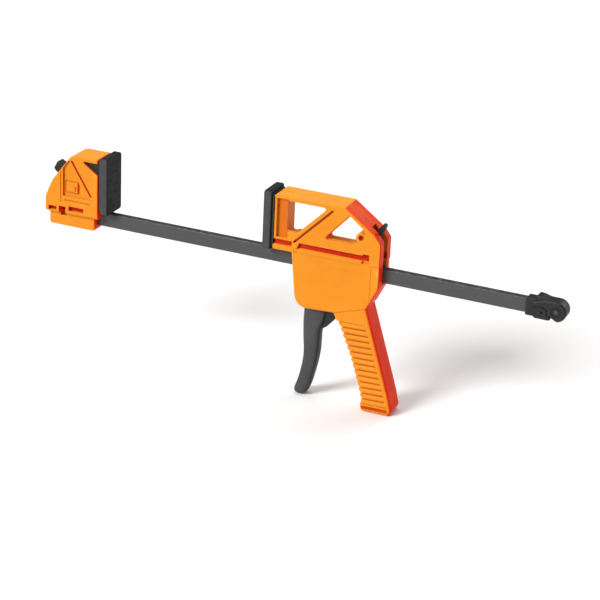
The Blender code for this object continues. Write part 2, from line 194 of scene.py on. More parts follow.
def signed_area(outline):
    pairs = zip(outline, outline[1:] + outline[:1])
    return sum(x0 * z1 - x1 * z0 for (x0, z0), (x1, z1) in pairs) / 2


def tidy(shape):
    bmesh.ops.remove_doubles(shape, verts=shape.verts, dist=1e-4)
    bmesh.ops.dissolve_degenerate(shape, edges=shape.edges, dist=1e-4)
    bmesh.ops.recalc_face_normals(shape, faces=shape.faces)


def to_object(name, shape):
    tidy(shape)
    mesh = bpy.data.meshes.new(name)
    shape.to_mesh(mesh)
    shape.free()
    made = bpy.data.objects.new(name, mesh)
    bpy.context.scene.collection.objects.link(made)
    return made


def inset(ring, distance):
    """A ring moved sideways towards its left, which is where the solid lies."""
    moved = []
    points = [Vector(point) for point in ring]
    for i, point in enumerate(points):
        before = (point - points[i - 1]).normalized()
        after = (points[(i + 1) % len(points)] - point).normalized()
        first, second = Vector((-before.y, before.x)), Vector((-after.y, after.x))
        middle = (first + second).normalized()
        moved.append(point + middle * distance / max(middle.dot(first), 0.3))
    return moved


def plate(name, outline, near, far, rim=0.0, holes=(), steps=4, shrink=0.0):
    """An XZ outline with holes, carried along Y from near to far, its edges rounded by rim."""
    rings = [outline if signed_area(outline) > 0 else outline[::-1]]
    rings += [hole if signed_area(hole) < 0 else hole[::-1] for hole in holes]
    if shrink:
        rings = [inset(ring, shrink) for ring in rings]
    levels = [(near, 0.0), (far, 0.0)]
    if rim:
        turns = [math.pi / 2 * i / steps for i in range(steps + 1)]
        levels = [(near + rim * (1 - math.cos(turn)), rim * (1 - math.sin(turn))) for turn in turns]
        levels += [(far - (y - near), back) for y, back in reversed(levels)]
    shape = bmesh.new()
    stacks = []
    for y, back in levels:
        placed = [inset(ring, back) for ring in rings]
        stacks.append([[shape.verts.new((point.x, y, point.y)) for point in ring] for ring in placed])
    for lower, with_top_highlight in zip(stacks, stacks[1:]):
        for ring, following in zip(lower, with_top_highlight):
            for k in range(len(ring)):
                shape.faces.new((ring[k - 1], ring[k], following[k], following[k - 1]))
    for stack in (stacks[0], stacks[-1]):
        flat = [vertex for ring in stack for vertex in ring]
        triangles = tessellate_polygon([[Vector((v.co.x, v.co.z, 0)) for v in ring] for ring in stack])
        for triangle in triangles:
            shape.faces.new([flat[index] for index in triangle])
    return to_object(name, shape)


def box(name, low, high):
    outline = [(low[0], low[2]), (high[0], low[2]), (high[0], high[2]), (low[0], high[2])]
    return plate(name, outline, low[1], high[1])


def rod(name, centre, radius, near, far, rim=0.0, sides=32):
    return plate(name, circle(centre, radius, sides), near, far, rim)


def skin(name, rings):
    """A closed surface through rings of points that all have the same count."""
    shape = bmesh.new()
    made = [[shape.verts.new(point) for point in ring] for ring in rings]
    count = len(rings[0])
    for ring, following in zip(made, made[1:]):
        for k in range(count):
            after = (k + 1) % count
            shape.faces.new((ring[k], ring[after], following[after], following[k]))
    shape.faces.new(made[0])
    shape.faces.new(made[-1])
    return to_object(name, shape)


def tube(name, path, radius, sides=12):
    """A round bead along a path, with domed ends."""
    points = [Vector(point) for point in path]
    rings = []
    last = len(points) - 1
    for i, point in enumerate(points):
        ahead = (points[min(i + 1, last)] - points[max(i - 1, 0)]).normalized()
        side = ahead.orthogonal() if i == 0 else side - ahead * side.dot(ahead)
        side.normalize()
        up = ahead.cross(side)
        domes = [(0.0, 1.0)]
        if i in (0, last):
            domes = [(math.sin(math.radians(a)), math.cos(math.radians(a))) for a in (0, 30, 55, 78)]
        if i == 0:
            domes = [(-along_it, across) for along_it, across in reversed(domes)]
        for along_it, across in domes:
            ring = []
            for k in range(sides):
                angle = 2 * math.pi * k / sides
                spoke = side * math.cos(angle) + up * math.sin(angle)
                ring.append(point + ahead * along_it * radius + spoke * radius * across)
            rings.append(ring)
    return skin(name, rings)


def combine(target, tool, operation):
    """Bakes one Boolean into the target's mesh and removes the tool."""
    modifier = target.modifiers.new("join", "BOOLEAN")
    modifier.operation = operation
    modifier.solver = "MANIFOLD"
    modifier.object = tool
    graph = bpy.context.evaluated_depsgraph_get()
    result = bpy.data.meshes.new_from_object(target.evaluated_get(graph))
    target.modifiers.clear()
    target.data = result
    bpy.data.objects.remove(tool)


def join(target, *tools):
    for tool in tools:
        combine(target, tool, "UNION")
    return target


def cut(target, *tools):
    for tool in tools:
        combine(target, tool, "DIFFERENCE")
    return target


def gather(target, *others):
    """Adds other meshes to the target's own without a Boolean."""
    shape = bmesh.new()
    shape.from_mesh(target.data)
    for other in others:
        shape.from_mesh(other.data)
        bpy.data.objects.remove(other)
    shape.to_mesh(target.data)
    shape.free()
    return target


def copy_of(source, name):
    made = bpy.data.objects.new(name, source.data.copy())
    bpy.context.scene.collection.objects.link(made)
    return made


def turn(piece, pivot, degrees):
    """Turns a mesh about a Y axis through an XZ point, its top towards +X."""
    centre = Matrix.Translation((pivot[0], 0, pivot[1]))
    rotation = Matrix.Rotation(math.radians(degrees), 4, "Y")
    piece.data.transform(centre @ rotation @ centre.inverted())
    return piece


def finish(piece, paint, body, nodes, sharp=32):
    """Puts a mesh in the frame's metres, on its body, with its material and clean normals."""
    piece.data.transform(Matrix.Translation(ORIGIN) @ Matrix.Scale(MM, 4))
    piece.data.materials.clear()
    piece.data.materials.append(paint)
    piece.data.shade_smooth()
    piece.data.set_sharp_from_angle(angle=math.radians(sharp))
    modifier = piece.modifiers.new("normals", "WEIGHTED_NORMAL")
    modifier.keep_sharp = True
    modifier.weight = 80
    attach(piece, body)
    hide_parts(*nodes)


# Materials


class Paint:
    """A Principled material whose colour, roughness and bump come from nodes."""

    def __init__(self, name, roughness, metallic=0.0):
        self.material = bpy.data.materials.new(name)
        self.material.use_nodes = True
        self.nodes = self.material.node_tree.nodes
        self.links = self.material.node_tree.links
        self.shader = self.nodes["Principled BSDF"]
        self.set("Metallic", metallic)
        self.set("Roughness", roughness)
        self.place = self.nodes.new("ShaderNodeTexCoord").outputs["Object"]
        self.bumps = None

    def set(self, socket, value):
        self.shader.inputs[socket].default_value = value

    def noise(self, scale, detail=3.0, rough=0.5, stretch=(1, 1, 1)):
        mapping = self.nodes.new("ShaderNodeMapping")
        mapping.inputs["Scale"].default_value = stretch
        self.links.new(self.place, mapping.inputs["Vector"])
        node = self.nodes.new("ShaderNodeTexNoise")
        node.inputs["Scale"].default_value = scale
        node.inputs["Detail"].default_value = detail
        node.inputs["Roughness"].default_value = rough
        self.links.new(mapping.outputs["Vector"], node.inputs["Vector"])
        return node.outputs["Fac"]

    def ramp(self, factor, stops):
        node = self.nodes.new("ShaderNodeValToRGB")
        ramp = node.color_ramp
        while len(ramp.elements) < len(stops):
            ramp.elements.new(0.5)
        for element, (position, colour) in zip(ramp.elements, stops):
            element.position = position
            element.color = (*colour, 1)
        self.links.new(factor, node.inputs["Fac"])
        return node.outputs["Color"]

    def levels(self, factor, low, high, to_low, to_high):
        node = self.nodes.new("ShaderNodeMapRange")
        values = {"From Min": low, "From Max": high, "To Min": to_low, "To Max": to_high}
        for socket, value in values.items():
            node.inputs[socket].default_value = value
        self.links.new(factor, node.inputs["Value"])
        return node.outputs["Result"]

    def mix(self, factor, first, second):
        node = self.nodes.new("ShaderNodeMix")
        node.data_type = "RGBA"
        self.links.new(factor, node.inputs["Factor"])
        for socket, value in ((node.inputs[6], first), (node.inputs[7], second)):
            if isinstance(value, tuple):
                socket.default_value = (*value, 1)
            else:
                self.links.new(value, socket)
        return node.outputs[2]

    def edges(self, low, high):
        """How far a point is on a convex edge, from 0 to 1 between two levels of pointiness."""
        geometry = self.nodes.new("ShaderNodeNewGeometry")
        return self.levels(geometry.outputs["Pointiness"], low, high, 0, 1)

    def combine(self, first, second, operation="MULTIPLY"):
        node = self.nodes.new("ShaderNodeMath")
        node.operation = operation
        self.links.new(first, node.inputs[0])
        self.links.new(second, node.inputs[1])
        return node.outputs[0]

    def between(self, low, high):
        """1 between two heights in the outlines' millimetres."""
        height = self.part("Object", "Z")
        above = self.levels(height, ORIGIN.z + low * MM, ORIGIN.z + (low + 0.1) * MM, 0, 1)
        below = self.levels(height, ORIGIN.z + high * MM, ORIGIN.z + (high + 0.1) * MM, 1, 0)
        return self.combine(above, below)

    def part(self, source, axis, positive=False):
        """One part of the surface's normal or place, signed or made positive."""
        vector = self.nodes.new("ShaderNodeTexCoord").outputs[source]
        split = self.nodes.new("ShaderNodeSeparateXYZ")
        self.links.new(vector, split.inputs[0])
        size = self.nodes.new("ShaderNodeMath")
        size.operation = "ABSOLUTE" if positive else "MULTIPLY"
        size.inputs[1].default_value = 1.0
        self.links.new(split.outputs[axis], size.inputs[0])
        return size.outputs[0]

    def sunk(self, steps):
        """1 on side faces that lie deeper than the outer surface, whose half-width changes with height: the
        mask for shade painted into recesses.

        Each step is (bottom, half-width, top, share of the painted shade), in the outlines' millimetres.
        """
        depth = self.part("Object", "Y", True)
        found = None
        for low, half, high, share in steps:
            inside = self.levels(depth, (half - 0.5) * MM, half * MM, share, 0)
            here = self.combine(self.between(low, high), inside)
            found = self.combine(found, here, "MAXIMUM") if found else here
        side_on = self.levels(self.part("Normal", "Y", True), 0.15, 0.4, 0, 1)
        not_front = self.levels(self.part("Normal", "X"), -0.5, -0.15, 0, 1)
        return self.combine(self.combine(found, side_on), not_front)

    def bump(self, height, distance, strength=1.0):
        node = self.nodes.new("ShaderNodeBump")
        node.inputs["Distance"].default_value = distance
        node.inputs["Strength"].default_value = strength
        self.links.new(height, node.inputs["Height"])
        if self.bumps:
            self.links.new(self.bumps, node.inputs["Normal"])
        self.bumps = node.outputs["Normal"]
        self.links.new(self.bumps, self.shader.inputs["Normal"])

    def colour(self, output):
        self.links.new(output, self.shader.inputs["Base Color"])

    def roughness(self, output):
        self.links.new(output, self.shader.inputs["Roughness"])


def orange_plastic(name, steps, end_shade_from):
    """Satin moulded plastic with scuffed edges, with painted shade that turns its recesses and end faces
    redder, and a painted highlight on faces turned up.

    The painted shade on end faces begins past the X given as the third argument, in the outlines'
    millimetres, and steps go to Paint.sunk.
    """
    paint = Paint(name, 0.4)
    cloud = paint.noise(38, 4, 0.6)
    sides = paint.ramp(cloud, [(0.3, (0.62, 0.212, 0.012)), (0.7, (0.68, 0.236, 0.014))])
    # Painted shade: the next two colours are a deep red for recessed side faces and a red for faces turned
    # towards +X.
    deep = paint.ramp(cloud, [(0.3, (0.42, 0.012, 0.001)), (0.7, (0.50, 0.018, 0.001))])
    ends = paint.ramp(cloud, [(0.3, (0.76, 0.026, 0.0005)), (0.7, (0.84, 0.034, 0.0005))])
    # Painted highlight: faces turned up are mixed part way to a lighter orange.
    top_highlight = paint.levels(paint.part("Normal", "Z"), 0.8, 0.97, 0, 0.6)
    with_top_highlight = paint.mix(top_highlight, sides, (0.80, 0.34, 0.045))
    # Painted shade: faces turned towards +X, behind the given X, take the red.
    end_shade_start = ORIGIN.x + end_shade_from * MM
    past_start = paint.levels(paint.part("Object", "X"), end_shade_start, end_shade_start + 4 * MM, 0, 1)
    end_shade = paint.combine(paint.levels(paint.part("Normal", "X"), 0.2, 0.62, 0, 1), past_start)
    outer = paint.mix(end_shade, with_top_highlight, ends)
    # Painted shade: recessed side faces take the deep red.
    body = paint.mix(paint.sunk(steps), outer, deep)
    scuffs = paint.levels(paint.noise(420, 5, 0.65, (1, 1, 0.35)), 0.62, 0.78, 0, 0.12)
    worn = paint.mix(scuffs, body, (0.85, 0.34, 0.04))
    patchy = paint.levels(paint.noise(160, 4), 0.35, 0.65, 0.05, 0.45)
    rubbed = paint.combine(paint.edges(0.55, 0.64), patchy)
    paint.colour(paint.mix(rubbed, worn, (0.92, 0.42, 0.07)))
    paint.roughness(paint.levels(paint.noise(95, 5, 0.7), 0.3, 0.7, 0.4, 0.55))
    paint.bump(paint.noise(2600, 2, 0.5), 0.00003, 0.35)
    paint.bump(paint.noise(120, 2), 0.00012, 0.18)
    paint.set("IOR", 1.25)
    paint.set("Specular IOR Level", 0.3)
    paint.set("Subsurface Weight", 0.15)
    paint.set("Subsurface Radius", (1.0, 0.22, 0.03))
    paint.set("Subsurface Scale", 0.003)
    return paint.material


def dark_with_painted_shade(paint, cloud, dark, light, shade):
    """Colour that is lighter on the broad side faces and darker on the narrow ones, as painted shade."""
    broad = paint.ramp(cloud, [(0.3, dark), (0.7, light)])
    # Painted shade: the narrow faces get the same colours times shade.
    stops = [(0.3, tuple(c * shade for c in dark)), (0.7, tuple(c * shade for c in light))]
    narrow = paint.ramp(cloud, stops)
    return paint.mix(paint.levels(paint.part("Normal", "Y", True), 0.35, 0.95, 0, 1), narrow, broad)


def black_plastic(name, dark, light, shade, rub_and_edge_highlight):
    """Textured black or grey plastic that greys a little where hands have rubbed it, with painted shade on
    its narrow faces and lighter convex edges that are partly wear and partly painted highlight.
    """
    paint = Paint(name, 0.45)
    body = dark_with_painted_shade(paint, paint.noise(60, 4, 0.6), dark, light, shade)
    rubbed = paint.levels(paint.noise(230, 5, 0.7), 0.55, 0.8, 0, 0.25)
    worn = paint.mix(rubbed, body, (rub_and_edge_highlight, rub_and_edge_highlight, rub_and_edge_highlight * 1.03))
    # Convex edges lighten: partly edge wear, partly painted highlight.
    edge = paint.combine(paint.edges(0.55, 0.66), paint.levels(paint.noise(180, 4), 0.35, 0.65, 0.1, 0.7))
    paint.colour(paint.mix(edge, worn, (rub_and_edge_highlight * 2, rub_and_edge_highlight * 2, rub_and_edge_highlight * 2.06)))
    paint.roughness(paint.levels(paint.noise(140, 4), 0.3, 0.7, 0.4, 0.58))
    paint.bump(paint.noise(1900, 2, 0.5), 0.00004, 0.45)
    paint.set("Specular IOR Level", 0.3)
    return paint.material


def pad_rubber():
    """Soft dark grey rubber with a matt pore texture and dusty high spots, and painted shade on its narrow
    faces.
    """
    paint = Paint("pad_rubber", 0.75)
    body = dark_with_painted_shade(paint, paint.noise(75, 5, 0.65), (0.040, 0.042, 0.043), (0.056, 0.058, 0.06), 0.25)
    dust = paint.levels(paint.noise(520, 4, 0.7), 0.58, 0.78, 0, 0.3)
    paint.colour(paint.mix(dust, body, (0.09, 0.09, 0.09)))
    paint.roughness(paint.levels(paint.noise(300, 3), 0.3, 0.7, 0.62, 0.86))
    paint.bump(paint.noise(1500, 3, 0.6), 0.00006, 0.6)
    paint.set("Specular IOR Level", 0.2)
    return paint.material


def black_bar():
    """Blackened steel bar with faint drawing lines along its length and rubbed edges, and painted shade on
    its narrow faces.
    """
    paint = Paint("blackened_bar", 0.45, 0.25)
    lines = paint.noise(700, 4, 0.6, (0.015, 1, 1))
    body = dark_with_painted_shade(paint, lines, (0.052, 0.052, 0.054), (0.064, 0.064, 0.066), 0.4)
    patches = paint.levels(paint.noise(26, 3, 0.5, (0.12, 1, 1)), 0.4, 0.9, 0, 0.12)
    mottled = paint.mix(patches, body, (0.085, 0.085, 0.087))
    rims = paint.combine(paint.between(5.3, 7), paint.between(-7, -5.3), "MAXIMUM")
    edge = paint.combine(rims, paint.levels(paint.noise(300, 4), 0.45, 0.75, 0, 0.4))
    paint.colour(paint.mix(edge, mottled, (0.2, 0.2, 0.205)))
    paint.roughness(paint.levels(lines, 0.3, 0.7, 0.4, 0.55))
    paint.bump(lines, 0.00002, 0.4)
    paint.set("Specular IOR Level", 0.35)
    return paint.material


def plated_steel(name, colour, rough=0.3, stretch=(1, 1, 1)):
    """Zinc-plated or drawn steel with fine grain and slightly dull spots."""
    paint = Paint(name, rough, 1.0)
    grain = paint.noise(1400, 4, 0.6, stretch)
    darker = tuple(c * 0.7 for c in colour)
    body = paint.ramp(grain, [(0.3, darker), (0.7, colour)])
    spots = paint.levels(paint.noise(260, 5, 0.7), 0.5, 0.75, 0, 0.5)
    paint.colour(paint.mix(spots, body, tuple(c * 0.5 for c in colour)))
    paint.roughness(paint.levels(paint.noise(340, 4), 0.3, 0.7, rough * 0.8, rough * 1.5))
    paint.bump(grain, 0.00002, 0.4)
    return paint.material


# Where shade is painted into recesses, as (bottom, half-width, top, share): the grip's bottom lip and rib
# band, the groove under the head and the head's recesses; the fixed jaw's are given inline.
GRIP_SHADE_STEPS = [(-117, 9.0, -112.4, 1), (-112, 9.5, -43, 0.6)]
HEAD_SHADE_STEPS = [(12.4, 10.6, 18, 1), (18.2, 10.6, 60, 0.45)]
ORANGE = orange_plastic("orange_plastic", GRIP_SHADE_STEPS + HEAD_SHADE_STEPS, 168)
JAW_ORANGE = orange_plastic("orange_jaw", [(2.2, 9.6, 12, 1), (12.2, 9.7, 51.2, 0.75)], -60)
# The third number is painted shade on narrow faces; the fourth is the grey of rubs, twice as light on
# convex edges, partly wear and partly painted highlight.
BLACK = black_plastic("black_plastic", (0.008, 0.0083, 0.0086), (0.013, 0.0135, 0.014), 0.7, 0.026)
GREY = black_plastic("trigger_plastic", (0.036, 0.038, 0.039), (0.050, 0.052, 0.053), 0.3, 0.07)
RUBBER = pad_rubber()
STEEL = black_bar()
ZINC = plated_steel("zinc_plate", (0.62, 0.62, 0.64))
SPRING = plated_steel("spring_wire", (0.4, 0.4, 0.43), 0.25, (1, 1, 0.2))


# The bar and the end stop


def bar():
    low, high = BAR
    outline = rectangle(low.x, low.z, high.x, high.z, 0.8, 4)
    made = plate("flat_bar", outline, low.y, high.y, 0.55)
    notch = filleted([(-47.2, 3.6, 0.7), (-47.2, 9, 0), (-41.3, 9, 0), (-41.3, 3.6, 0.7)], 3)
    cut(made, plate("notch", notch, -6, 6), rod("pin_hole", STOP_PIN, 2.3, -6, 6))
    finish(made, STEEL, "bar_and_fixed_jaw", ["bar"])


def end_stop():
    """A rounded stop with a collar, a lug on top, and a hook line and a ring sunk into its sides."""
    middle = STOP_PIN
    radius = 8.2
    outline = [(368.0, 7.4, 1.4), (368.0, -5.6, 1.4), (371.2, -8.2, 1.8), (middle[0] - 1, -8.2, 1.8)]
    outline = filleted(outline)
    half_turn = [math.radians(a) for a in range(-84, 85, 12)]
    outline += [(middle[0] + radius * math.cos(a), radius * math.sin(a)) for a in half_turn]
    outline += [(middle[0] - 1, 8.25), (379.0, 8.3)]
    made = plate("end_stop", outline, -6.3, 6.3, 1.3)
    join(made, plate("collar", rectangle(363.0, -7.3, 372.0, 7.3, 1.2), -5, 5, 0.9))
    lug = [(371.0, 5, 1.2), (371.0, STOP_TOP, 1.3), (375.2, STOP_TOP - 0.2, 2.5)]
    lug = filleted(lug + [(383.5, 7.9, 0), (383.5, 5, 0)])
    join(made, plate("lug", lug, -5.4, 5.4, 1.0))
    hook = [(370.5, 1.2), (374, 1.8), (377, 2.0), (379.6, 1.0), (380.7, -1.2), (380.6, -4.2)]
    ring, island = circle(middle, 4.1, 40), circle(middle, 3.1, 40)
    for side in (-1, 1):
        cut(made, tube("hook_groove", [(x, side * 6.2, z) for x, z in hook], 0.7, 10))
        cut(made, rod("dimple", (376.6, -2.4), 0.9, *span(side, 5.2, 7)))
        cut(made, plate("ring_groove", ring, *span(side, 5.7, 7), holes=[island]))
    cut(made, rod("pin_hole", middle, 2.25, -8, 8))
    finish(made, BLACK, "bar_and_fixed_jaw", ["bar_end_stop"])
    pin = rod("end_stop_rivet", middle, 2.1, -6.3, 6.3, 0.5)
    finish(pin, GREY, "bar_and_fixed_jaw", ["end_stop_pin"])


# The fixed jaw


def fixed_jaw():
    """The fixed jaw's body, a narrower foot round the bar, and the black backing at the pad's corner."""
    bottom = JAW_LOW.z + 12
    front = JAW_HIGH.x - 2.4
    outline = [
        (front, bottom, 0.9),
        (front, JAW_HIGH.z, 1.6),
        (-34.0, JAW_HIGH.z, 9),
        (-53.0, 30.0, 30),
        (JAW_LOW.x, 15.0, 12),
        (JAW_LOW.x, bottom, 2),
    ]
    made = plate("fixed_jaw", filleted(outline), -HEAD_HALF, HEAD_HALF, 1.4, steps=5)
    foot = filleted([(-57.0, JAW_LOW.z, 2), (-14.0, JAW_LOW.z, 2), (-14.0, 12.0, 1), (-57.0, 12.0, 1)])
    join(made, plate("foot", foot, -8.5, 8.5, 0.9))
    key = [(front - 1, 15.4), (front + 4.6, 15.4), (front + 4.6, 48.6), (front - 1, 48.6)]
    neck = [(-13, 9.5, 1), (-13, 53.5, 1), (front + 2.4, 53.5, 0.2), (front + 2.4, 9.5, 0.2)]
    join(made, plate("neck", filleted(neck), -9.5, 9.5, 0.15))
    join(made, plate("pad_key", key, -5.6, 5.6, 0.2))
    panel = [(-42.2, 17.8, 1), (-42.2, 42.6, 2), (-37.4, 49.8, 1.2), (-33.4, 49.8, 1.2)]
    panel = filleted(panel + [(-15.2, 21.8, 1.2), (-16.4, 17.8, 1)])
    diagonal = filleted([(-36.4, 50.2, 0.9), (-32.8, 50.2, 0.9), (-13.6, 20.2, 0.9), (-17.2, 20.2, 0.9)])
    corner = filleted([(-24.6, 51.6, 0.9), (front + 6, 51.6, 0), (front + 6, 36.8, 0)])
    lower = rectangle(-37.0, 5.0, -22.6, 9.4, 0.7)
    left = rectangle(-56.2, 3.4, -48.4, 7.4, 0.8)
    under = rectangle(-40.6, 13.9, -16.2, 15.0, 0.5)
    rib_line = rectangle(-44.6, 12.4, -43.6, 44.0, 0.5)
    notch = [(-46.4, bottom - 3), (-46.4, 8.3), (-39.8, 8.3), (-39.8, bottom - 3)]
    for side in (-1, 1):
        for shape, floor in (
            (panel, 10.2),
            (diagonal, 8.8),
            (corner, 8.6),
            (lower, 9.0),
            (left, 9.0),
            (under, 10.9),
            (rib_line, 11.4),
            (notch, 4.6),
        ):
            cut(made, plate("recess", shape, *span(side, floor)))
    for side in (-1, 1):
        cut(made, plate("trench", rectangle(-40.6, 20.6, -27.0, 31.8, 1), *span(side, 9.6)))
    join(made, plate("boss", rectangle(-39.6, 21.8, -28.4, 30.6, 1), -11.2, 11.2, 0.6))
    join(made, plate("boss_step", rectangle(-39.0, 23.2, -30.6, 27.6, 0.8), -11.9, 11.9, 0.5))
    slot = [(-21.8, 3), (-21.8, 17), (-29, 17), (-31, 25), (-40.8, 25), (-40.8, 48.5)]
    slot += [(-70, 48.5), (-70, 24), (-54, 24), (-54, 3)]
    cut(made, plate("latch_slot", slot, -3.1, 3.1))
    cut(made, box("bar_space", (-54.3, -BAR_ROOM_HALF, -6.3), (10, BAR_ROOM_HALF, 6.3)))
    cut(made, rod("latch_bore", LATCH_PIVOT, 1.8, -10.7, 10.7))
    finish(made, JAW_ORANGE, "bar_and_fixed_jaw", ["fixed_jaw_body"])
    backing = filleted([(-23.4, 50.6, 0.6), (front + 1.6, 50.6, 0.3), (front + 1.6, 38.6, 0.3)])
    plates = [plate("pad_backing", backing, *span(side, 7.0, 10.0), 0.3) for side in (-1, 1)]
    finish(gather(*plates), BLACK, "bar_and_fixed_jaw", [])


def latch():
    """The latch lever: a round eye on its pin, an arm up the jaw's back, a ridged thumb and a toe."""
    eye_x, eye_z = LATCH_PIVOT
    lever = [(x, z) for x, z in circle(LATCH_PIVOT, 3.6, 24) if x > eye_x - 0.6]
    lever.sort(key=lambda point: math.atan2(point[1] - eye_z, point[0] - eye_x))
    lever += filleted(
        [
            (-43.0, 14.5, 2),
            (-46.0, 18.0, 3),
            (-46.2, 30.0, 3),
            (-45.4, 42.0, 1.5),
            (-50.5, 45.0, 1.2),
            (-53.0, 43.4, 1.0),
            (-55.9, 37.6, 1.0),
            (-54.6, 35.4, 0.8),
            (-50.4, 32.5, 2),
            (-51.2, 24.0, 3),
            (-51.5, 14.0, 2),
            (-49.5, 8.6, 1.2),
            (-46.0, 8.2, 0.4),
            (-46.0, 4.2, 0.5),
            (-42.6, 4.2, 0.5),
            (-42.0, 7.4, 0.5),
        ],
        3,
    )
    made = plate("jaw_latch", lever, -2.8, 2.8, 0.35)
    ridges = []
    for step in range(3):
        x, z = -54.9 + 0.95 * step, 38.6 + 1.75 * step
        ridges.append(tube("ridge", [(x, -2.2, z), (x, 0, z), (x, 2.2, z)], 0.5, 10))
    gather(made, *ridges)
    cut(made, rod("bore", LATCH_PIVOT, 1.8, -9, 9))
    finish(made, BLACK, "jaw_latch", ["jaw_latch_lever"])


def pad(name, face, inward, node, body):
    """A rubber pad with a softly rounded face, a narrower neck behind it and a shallow cross-cut face."""
    low, high = millimetres(node)
    half = high.y
    thick = high.x - low.x
    neck = 1.8

    def slab(part_name, start, end, width, bottom, top, radius, rim):
        """A plate drawn across the clamp and turned to face along the bar."""
        made = plate(part_name, rectangle(-width, bottom, width, top, radius), start, end, rim)
        made.data.transform(Matrix(((0, 1, 0, 0), (-1, 0, 0, 0), (0, 0, 1, 0), (0, 0, 0, 1))))
        return made

    back = face - inward * thick
    joint = back + inward * neck
    main = sorted((face, joint))
    made = slab(name, *main, half, low.z, high.z, 2.6, 1.1)
    rear = sorted((back, joint + inward * 2))
    join(made, slab("neck", *rear, half - 2.4, low.z + 2.4, high.z - 2.4, 1.5, 0.2))
    pocket = sorted((back - inward, back + inward * 2.7))
    cut(made, box("key_pocket", (pocket[0], -6, low.z + 7.7), (pocket[1], 6, high.z - 7.7)))
    line_count, margin, centre = 7, 7.0, face + inward * 0.28
    for index in range(line_count):
        z = low.z + margin + index * (high.z - low.z - 2 * margin) / (line_count - 1)
        cut(made, tube("line", [(centre, y, z) for y in (-half + 4, 0, half - 4)], 0.45, 8))
    finish(made, RUBBER, body, [node])


# The sliding jaw's shells


def windows(left, sill):
    """The head's two windows, whose slanted sides run on along the brace down to the sill."""
    first = BRACE_FOOT + BRACE_RUN * (sill - BRACE_FOOT.y) / BRACE_RUN.y
    second = REAR_TIP + REAR_RUN * (sill - REAR_TIP.y) / REAR_RUN.y
    front = [(left, WINDOW_TOP, 1.7), (*(BRACE_FOOT + BRACE_RUN), 1.6), (*first, 1.6), (left, sill, 1.7)]
    rear = [(*(REAR_TIP + REAR_RUN), 1.7), (229.4, 38.2, 1.7), (229.4, 31.0, 0.5)]
    rear += [(221.0, sill, 1.2), (*second, 1.6)]
    return [filleted(front, 4), filleted(rear, 4)]


def full_body(tongue=False):
    """Both halves as one before the seam is cut, or the thin tongue that fills the seam."""

    def slab(name, outline, half, rim, holes=()):
        if tongue:
            return plate(name, outline, -SEAM, SEAM, holes=holes, shrink=0.5)
        return plate(name, outline, -half, half, rim, holes, 5)

    head = filleted(
        [
            (HEAD_FRONT, 17.3, 1.0),
            (HEAD_FRONT, HEAD_TOP, 2.2),
            (212.0, HEAD_TOP, 2.8),
            (238.5, 36.0, 5),
            (BODY_REAR, 29.0, 4),
            (BODY_REAR, 9.6, 1.2),
            (234.6, 9.6, 1.1),
            (234.6, 17.3, 1.1),
        ]
    )
    made = slab("body", head, HEAD_HALF, 0.95, windows(NEAR_LEFT, NEAR_SILL))
    core = filleted(
        [
            (HEAD_FRONT + 0.6, 9.4, 0.6),
            (HEAD_FRONT + 0.6, 22.0, 1),
            (BODY_REAR - 0.6, 22.0, 1),
            (BODY_REAR - 0.6, -9.0, 8),
            (234.0, -27.6, 3),
            (206.0, -35.5, 2),
            (174.0, -37.4, 9),
            (168.0, 9.4, 1),
        ]
    )
    join(made, slab("core", core, CORE_HALF, 0.3))
    block = filleted(
        [
            (166.8, 12.2, 1.8),
            (228.6, 12.2, 1.0),
            (228.6, 10.2, 1.0),
            (BODY_REAR, 10.2, 1.4),
            (BODY_REAR, -9.0, 8),
            (234.3, -28.5, 6),
            (207.0, -37.0, 4),
            (172.3, -38.8, 11),
        ]
    )
    join(made, slab("block", block, BLOCK_HALF, 1.5))
    join(made, slab("flange", rectangle(HEAD_FRONT, 8.5, 170.0, 12.6, 0.8), HEAD_HALF, 0.6))
    foot = filleted([(167.5, 8.6, 0.8), (167.5, 20.0, 0.8), (174.5, 20.0, 0.8), (171.5, 8.6, 0.8)])
    join(made, slab("brace_foot", foot, BLOCK_HALF + 0.3, 0.7))
    grip = filleted(
        [
            (203.0, -33.0, 3),
            (209.0, -44.5, 12),
            (221.0, -72.5, 30),
            (231.0, -102.5, 30),
            (234.2, GRIP_BOTTOM, 2.8),
            (258.0, GRIP_BOTTOM, 3.0),
            (260.8, -114.0, 4),
            (257.4, -100.4, 40),
            (234.3, -28.5, 10),
            (230.0, -18.0, 3),
        ]
    )
    join(made, slab("grip", grip, GRIP_HALF, 2.3))
    return made


def strip_beside(start, along_it, across, first, second, length, radius):
    """A rounded strip between two distances to the side of a line."""
    corners = [
        start + across * first,
        start + along_it * length + across * first,
        start + along_it * length + across * second,
        start + across * second,
    ]
    return filleted([(corner.x, corner.y, radius) for corner in corners], 4)


